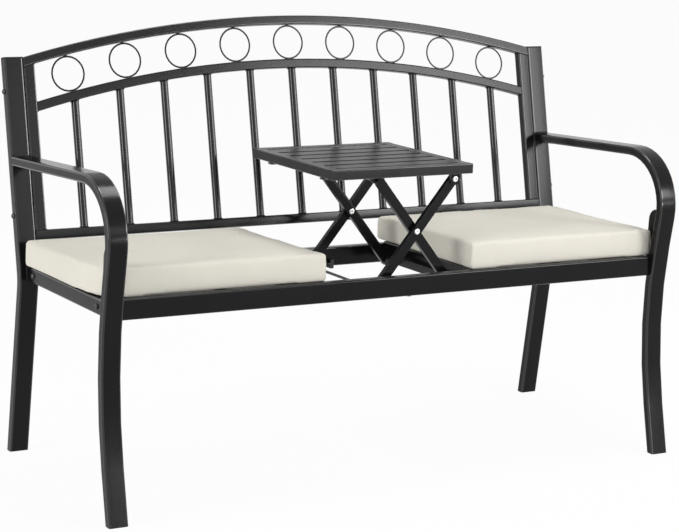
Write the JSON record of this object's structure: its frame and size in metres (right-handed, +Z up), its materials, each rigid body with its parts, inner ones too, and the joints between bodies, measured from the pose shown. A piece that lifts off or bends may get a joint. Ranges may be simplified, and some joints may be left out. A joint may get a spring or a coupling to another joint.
{
  "type": "garden bench",
  "caption": "Black metal garden bench with an arched ring-and-bar back, curved arms, a scissor table that folds down into the middle of the seat, and two cream box cushions.",
  "frame": {"origin": "middle of the bench's bounding box on the floor", "axes": "+X to the right as seen from the front, +Y from the front to the back, +Z up"},
  "size_m": [1.292, 0.597, 0.8566],
  "materials": {
    "black_powder_coat": "satin powder coat",
    "black_plastic": "fine matte",
    "zinc_plate": "bright zinc plate",
    "black_zinc": "black plated, smooth",
    "cream_fabric": "plain close weave"
  },
  "bodies": {
    "frame": {"arm_leg_left": "black_powder_coat", "arm_leg_right": "black_powder_coat", "back_bar_rail": "black_powder_coat", "back_bolt_foot_left": "black_zinc", "back_bolt_foot_right": "black_zinc", "back_bolt_top_left": "black_zinc", "back_bolt_top_right": "black_zinc", "back_ring_rail": "black_powder_coat", "back_stile_left": "black_powder_coat", "back_stile_right": "black_powder_coat", "back_top_rail": "black_powder_coat", "leg_gusset_left": "black_powder_coat", "leg_gusset_right": "black_powder_coat", "pivot_rivet_front": "black_zinc", "pivot_rivet_rear": "black_zinc", "post_cap_left": "black_plastic", "post_cap_right": "black_plastic", "rear_post_left": "black_powder_coat", "rear_post_right": "black_powder_coat", "seat_bolt_front_left": "black_zinc", "seat_bolt_front_right": "black_zinc", "seat_bolt_rear_left": "black_zinc", "seat_bolt_rear_right": "black_zinc", "seat_end_rail_left": "black_powder_coat", "seat_end_rail_right": "black_powder_coat", "seat_front_rail": "black_powder_coat", "seat_inner_rail_left": "black_powder_coat", "seat_inner_rail_right": "black_powder_coat", "seat_rear_rail": "black_powder_coat", "seat_runner_front": "black_powder_coat", "seat_runner_rear": "black_powder_coat", "seat_slats_left": "black_powder_coat", "seat_slats_right": "black_powder_coat", "side_rail_left": "black_powder_coat", "side_rail_right": "black_powder_coat", "table_ledge_left": "black_powder_coat", "table_ledge_right": "black_powder_coat"},
    "inner_legs": {"inner_leg_front": "black_powder_coat", "inner_leg_rear": "black_powder_coat", "upper_cross_rod": "black_powder_coat", "upper_roller_front": "black_plastic", "upper_roller_rear": "black_plastic"},
    "outer_legs": {"cross_rivet_front": "zinc_plate", "cross_rivet_rear": "zinc_plate", "lower_cross_rod": "black_powder_coat", "outer_leg_front": "black_powder_coat", "outer_leg_rear": "black_powder_coat"},
    "table": {"table_bracket_front": "black_powder_coat", "table_bracket_rear": "black_powder_coat", "table_front_rail": "black_powder_coat", "table_left_rail": "black_powder_coat", "table_rear_rail": "black_powder_coat", "table_right_rail": "black_powder_coat", "table_rivet_front": "zinc_plate", "table_rivet_rear": "zinc_plate", "table_runner_front": "black_powder_coat", "table_runner_rear": "black_powder_coat", "table_slats": "black_powder_coat"},
    "cushion_left": {"cushion_left": "cream_fabric"},
    "cushion_right": {"cushion_right": "cream_fabric"}
  },
  "joints": [
    {"name": "table_fold", "type": "hinge", "parent": "frame", "child": "inner_legs", "pos_m": [0.1365, -0.23519, 0.38263], "axis": [0, -0.999, 0.0436], "range_deg": [0, 51]},
    {"name": "leg_cross", "type": "hinge", "parent": "inner_legs", "child": "outer_legs", "pos_m": [0.04701, -0.23037, 0.49303], "axis": [0, 0.999, -0.0436], "range_deg": [0, 102.1]},
    {"name": "table_hinge", "type": "hinge", "parent": "outer_legs", "child": "table", "pos_m": [0.12895, -0.22595, 0.59412], "axis": [0, -0.999, 0.0436], "range_deg": [0, 51.1]},
    {"name": "cushion_left_lift", "type": "slide", "parent": "frame", "child": "cushion_left", "axis": [0, 0.0436, 0.999], "range_m": [0, 0.1]},
    {"name": "cushion_right_lift", "type": "slide", "parent": "frame", "child": "cushion_right", "axis": [0, 0.0436, 0.999], "range_m": [0, 0.1]}
  ],
  "couplings": [
    {"joint": "leg_cross", "follows": "table_fold", "ratio": 2},
    {"joint": "table_hinge", "follows": "table_fold", "ratio": 1}
  ]
}
